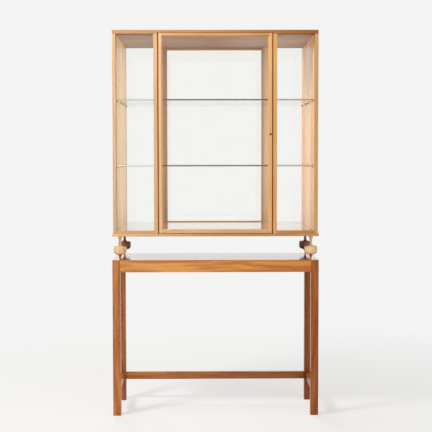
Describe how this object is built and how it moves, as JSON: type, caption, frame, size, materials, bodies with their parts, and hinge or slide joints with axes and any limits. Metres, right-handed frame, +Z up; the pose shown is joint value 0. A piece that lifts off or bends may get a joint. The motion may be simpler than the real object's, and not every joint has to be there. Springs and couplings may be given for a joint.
{
  "type": "display cabinet",
  "caption": "Tall glazed display cabinet with a central pivoted glass door, glass shelves and a mirror back, on turned feet above an open wooden stand.",
  "frame": {"origin": "on the floor, under the middle of the stand", "axes": "+X to the right seen from the front, -Y towards the viewer, +Z up"},
  "size_m": [0.85, 0.315, 1.588],
  "materials": {
    "stand_wood": "satin, warm reddish brown, straight grained",
    "case_wood": "satin, pale honey coloured, straight grained",
    "foot_wood": "satin, pale turned wood",
    "back_wood": "plain plywood",
    "window_glass": "clear polished",
    "shelf_glass": "clear, polished greenish edges",
    "mirror_glass": "silvered",
    "brass": "satin",
    "dark_brass": "darkened with age",
    "screw_steel": "plain"
  },
  "bodies": {
    "cabinet": {"leg_front_left": "stand_wood", "leg_front_right": "stand_wood", "leg_back_left": "stand_wood", "leg_back_right": "stand_wood", "apron_front": "stand_wood", "apron_back": "stand_wood", "apron_left": "stand_wood", "apron_right": "stand_wood", "stretcher_back": "stand_wood", "stretcher_left": "stand_wood", "stretcher_right": "stand_wood", "stand_top": "stand_wood", "corner_blocks": "back_wood", "foot_front_left": "foot_wood", "foot_front_right": "foot_wood", "foot_back_left": "foot_wood", "foot_back_right": "foot_wood", "base_board": "case_wood", "base_screws": "screw_steel", "floor_board": "case_wood", "top_board": "case_wood", "side_panel_left": "case_wood", "side_panel_right": "case_wood", "mid_post_left": "case_wood", "mid_post_right": "case_wood", "side_glass_left": "window_glass", "side_glass_right": "window_glass", "mirror": "mirror_glass", "back_panel": "back_wood", "back_screws": "screw_steel", "shelf_lower": "shelf_glass", "shelf_upper": "shelf_glass", "shelf_pins": "brass", "pivot_bottom": "brass", "pivot_top": "brass", "pivot_screws": "brass", "strike_plate": "brass", "strike_screws": "brass"},
    "door": {"door_stile_left": "case_wood", "door_stile_right": "case_wood", "door_rail_top": "case_wood", "door_rail_bottom": "case_wood", "door_glass": "window_glass", "door_beads": "case_wood", "bush_bottom": "brass", "bush_top": "brass", "escutcheon": "dark_brass", "lock_case": "brass", "lock_screws": "brass"},
    "lock_bolt": {"lock_bolt": "dark_brass"}
  },
  "joints": [
    {"name": "door_hinge", "type": "hinge", "parent": "cabinet", "child": "door", "pos_m": [-0.2255, -0.1485, 1.1665], "axis": [0, 0, -1], "range_deg": [0, 115]},
    {"name": "bolt_slide", "type": "slide", "parent": "door", "child": "lock_bolt", "axis": [1, 0, 0], "range_m": [0, 0.005]}
  ]
}
